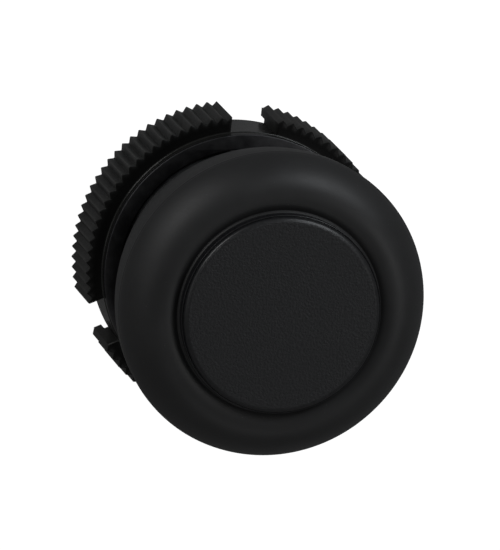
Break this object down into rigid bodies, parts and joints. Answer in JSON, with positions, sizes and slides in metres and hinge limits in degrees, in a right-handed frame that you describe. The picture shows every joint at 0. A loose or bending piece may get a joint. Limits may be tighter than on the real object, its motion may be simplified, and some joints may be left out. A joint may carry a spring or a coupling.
{
  "type": "industrial push button",
  "caption": "Booted round push button head with a textured press face, threaded neck, keyed washer and a serrated ring nut with open slots.",
  "frame": {"origin": "centre of the body sleeve's rear rim, on which the head stands", "axes": "+Z along the button's axis, out of the front; +Y towards the neck's keyway, the top when fitted"},
  "size_m": [0.0384, 0.0383, 0.036],
  "materials": {
    "boot_rubber": "smooth satin black rubber",
    "cap_plastic": "fine spark-eroded grain, black",
    "black_nylon": "moulded black nylon, satin",
    "grey_nylon": "glass-filled dark grey nylon",
    "acetal": "natural white acetal",
    "seal_rubber": "matt black rubber",
    "zinc_steel": "zinc-plated steel",
    "black_steel": "blackened steel",
    "spring_steel": "bright spring steel"
  },
  "bodies": {
    "body": {"body_sleeve": "grey_nylon", "boot": "boot_rubber", "panel_gasket": "seal_rubber", "stop_bumper": "seal_rubber", "rear_guide_bush": "acetal", "retaining_ring": "spring_steel", "spring_washer": "zinc_steel", "return_spring": "spring_steel"},
    "button": {"plunger": "acetal", "press_cap": "cap_plastic", "bead_clamp_ring": "zinc_steel", "cap_screw": "zinc_steel", "plunger_seal": "seal_rubber", "plunger_clip": "spring_steel", "actuator_pad": "black_nylon"},
    "washer": {"nut_washer": "black_steel"},
    "nut": {"ring_nut": "black_nylon"}
  },
  "joints": [
    {"name": "press", "type": "slide", "parent": "body", "child": "button", "axis": [0, 0, -1], "range_m": [0, 0.0045], "stiffness_N_per_m": 600, "springref_m": -0.007, "deforming": ["return_spring"]},
    {"name": "nut_travel", "type": "slide", "parent": "body", "child": "washer", "axis": [0, 0, 1], "range_m": [-0.00225, 0.006]},
    {"name": "nut_turn", "type": "hinge", "parent": "washer", "child": "nut", "pos_m": [0, 0, 0.0088], "axis": [0, 0, 1], "range_deg": [-540, 1440]}
  ],
  "couplings": [
    {"joint": "nut_turn", "follows": "nut_travel", "rad_per_m": 4188.8}
  ]
}
